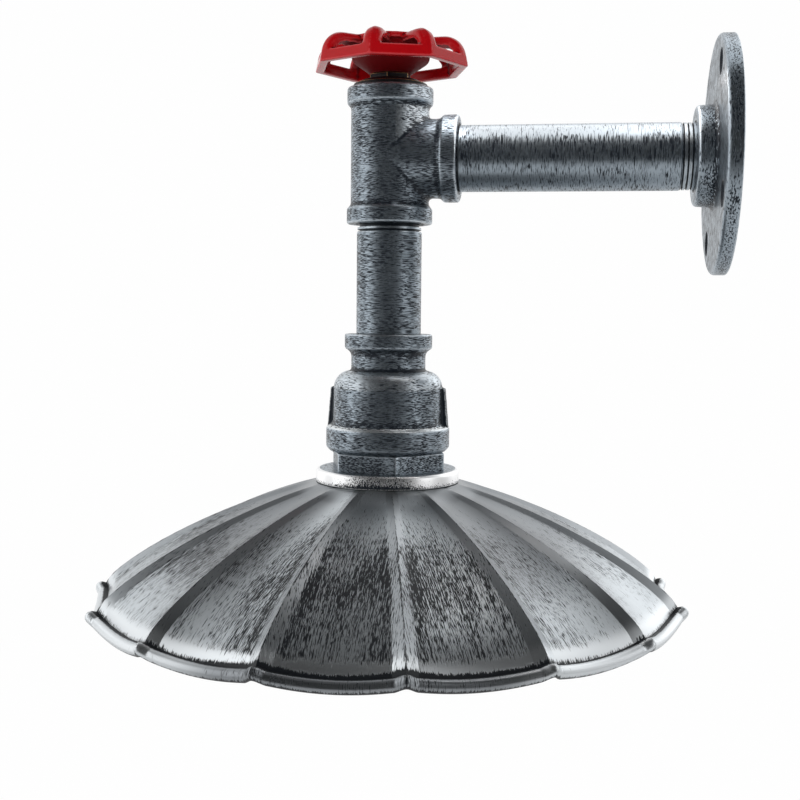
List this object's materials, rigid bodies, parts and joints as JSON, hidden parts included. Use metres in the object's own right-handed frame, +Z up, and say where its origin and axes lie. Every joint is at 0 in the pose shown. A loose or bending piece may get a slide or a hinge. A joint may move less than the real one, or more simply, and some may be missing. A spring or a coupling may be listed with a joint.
{
  "type": "pipe wall light",
  "caption": "Wall light of screwed pipe fittings with a scalloped metal shade over an open lampholder and a handwheel that turns the switch in the tee.",
  "frame": {"origin": "centre of the wall flange's back face, on the arm's axis", "axes": "+X into the wall, +Z up, the arm runs along -X"},
  "size_m": [0.2603, 0.2473, 0.2371],
  "materials": {
    "brushed_iron": "dark paint, dry-brushed with silver",
    "shade_sheet": "dark paint, dry-brushed with silver along the ribs",
    "red_enamel": "gloss enamel",
    "brass": "turned",
    "zinc_steel": "zinc plated",
    "black_iron": "black paint",
    "porcelain": "matt",
    "black_moulding": "moulded",
    "white_moulding": "moulded",
    "contact_bronze": "bright",
    "live_sheath": "insulated wire",
    "switched_sheath": "insulated wire",
    "neutral_sheath": "insulated wire",
    "earth_sheath": "insulated wire"
  },
  "bodies": {
    "flange": {"wall_flange": "brushed_iron"},
    "lamp": {"arm_pipe": "brushed_iron", "tee": "brushed_iron", "drop_pipe": "brushed_iron", "reducer": "brushed_iron", "hex_plug": "brushed_iron", "crown_cap": "shade_sheet", "shade": "shade_sheet", "clamp_washer": "zinc_steel", "nipple": "brass", "lock_washer": "zinc_steel", "lock_nut": "brass", "holder_cap": "black_iron", "holder_skirt": "black_moulding", "holder_core": "porcelain", "socket_shell": "brass", "holder_terminals": "brass", "bonnet": "black_iron", "gland_nut": "brass", "switch_body": "black_moulding", "switch_cover": "black_moulding", "switch_contacts": "contact_bronze", "switch_terminals": "brass", "supply_block": "white_moulding", "supply_screws": "brass", "live_lead": "live_sheath", "switched_lead": "switched_sheath", "neutral_lead": "neutral_sheath", "earth_lead": "earth_sheath", "earth_lug": "zinc_steel", "earth_screw": "brass"},
    "wheel": {"handwheel": "red_enamel", "stem": "brass", "wheel_washer": "zinc_steel", "wheel_nut": "zinc_steel", "switch_rotor": "porcelain", "rotor_bridge": "contact_bronze"},
    "contact": {"centre_contact": "contact_bronze"}
  },
  "joints": [
    {"name": "arm_swivel", "type": "hinge", "parent": "flange", "child": "lamp", "pos_m": [0, 0, 0], "axis": [1, 0, 0], "range_deg": [-90, 90]},
    {"name": "handwheel_turn", "type": "hinge", "parent": "lamp", "child": "wheel", "pos_m": [-0.136, 0, 0.04], "axis": [0, 0, 1], "range_deg": [0, 90]},
    {"name": "contact_press", "type": "slide", "parent": "lamp", "child": "contact", "axis": [0, 0, 1], "range_m": [0, 0.0012], "stiffness_N_per_m": 2500, "springref_m": -0.0004}
  ]
}
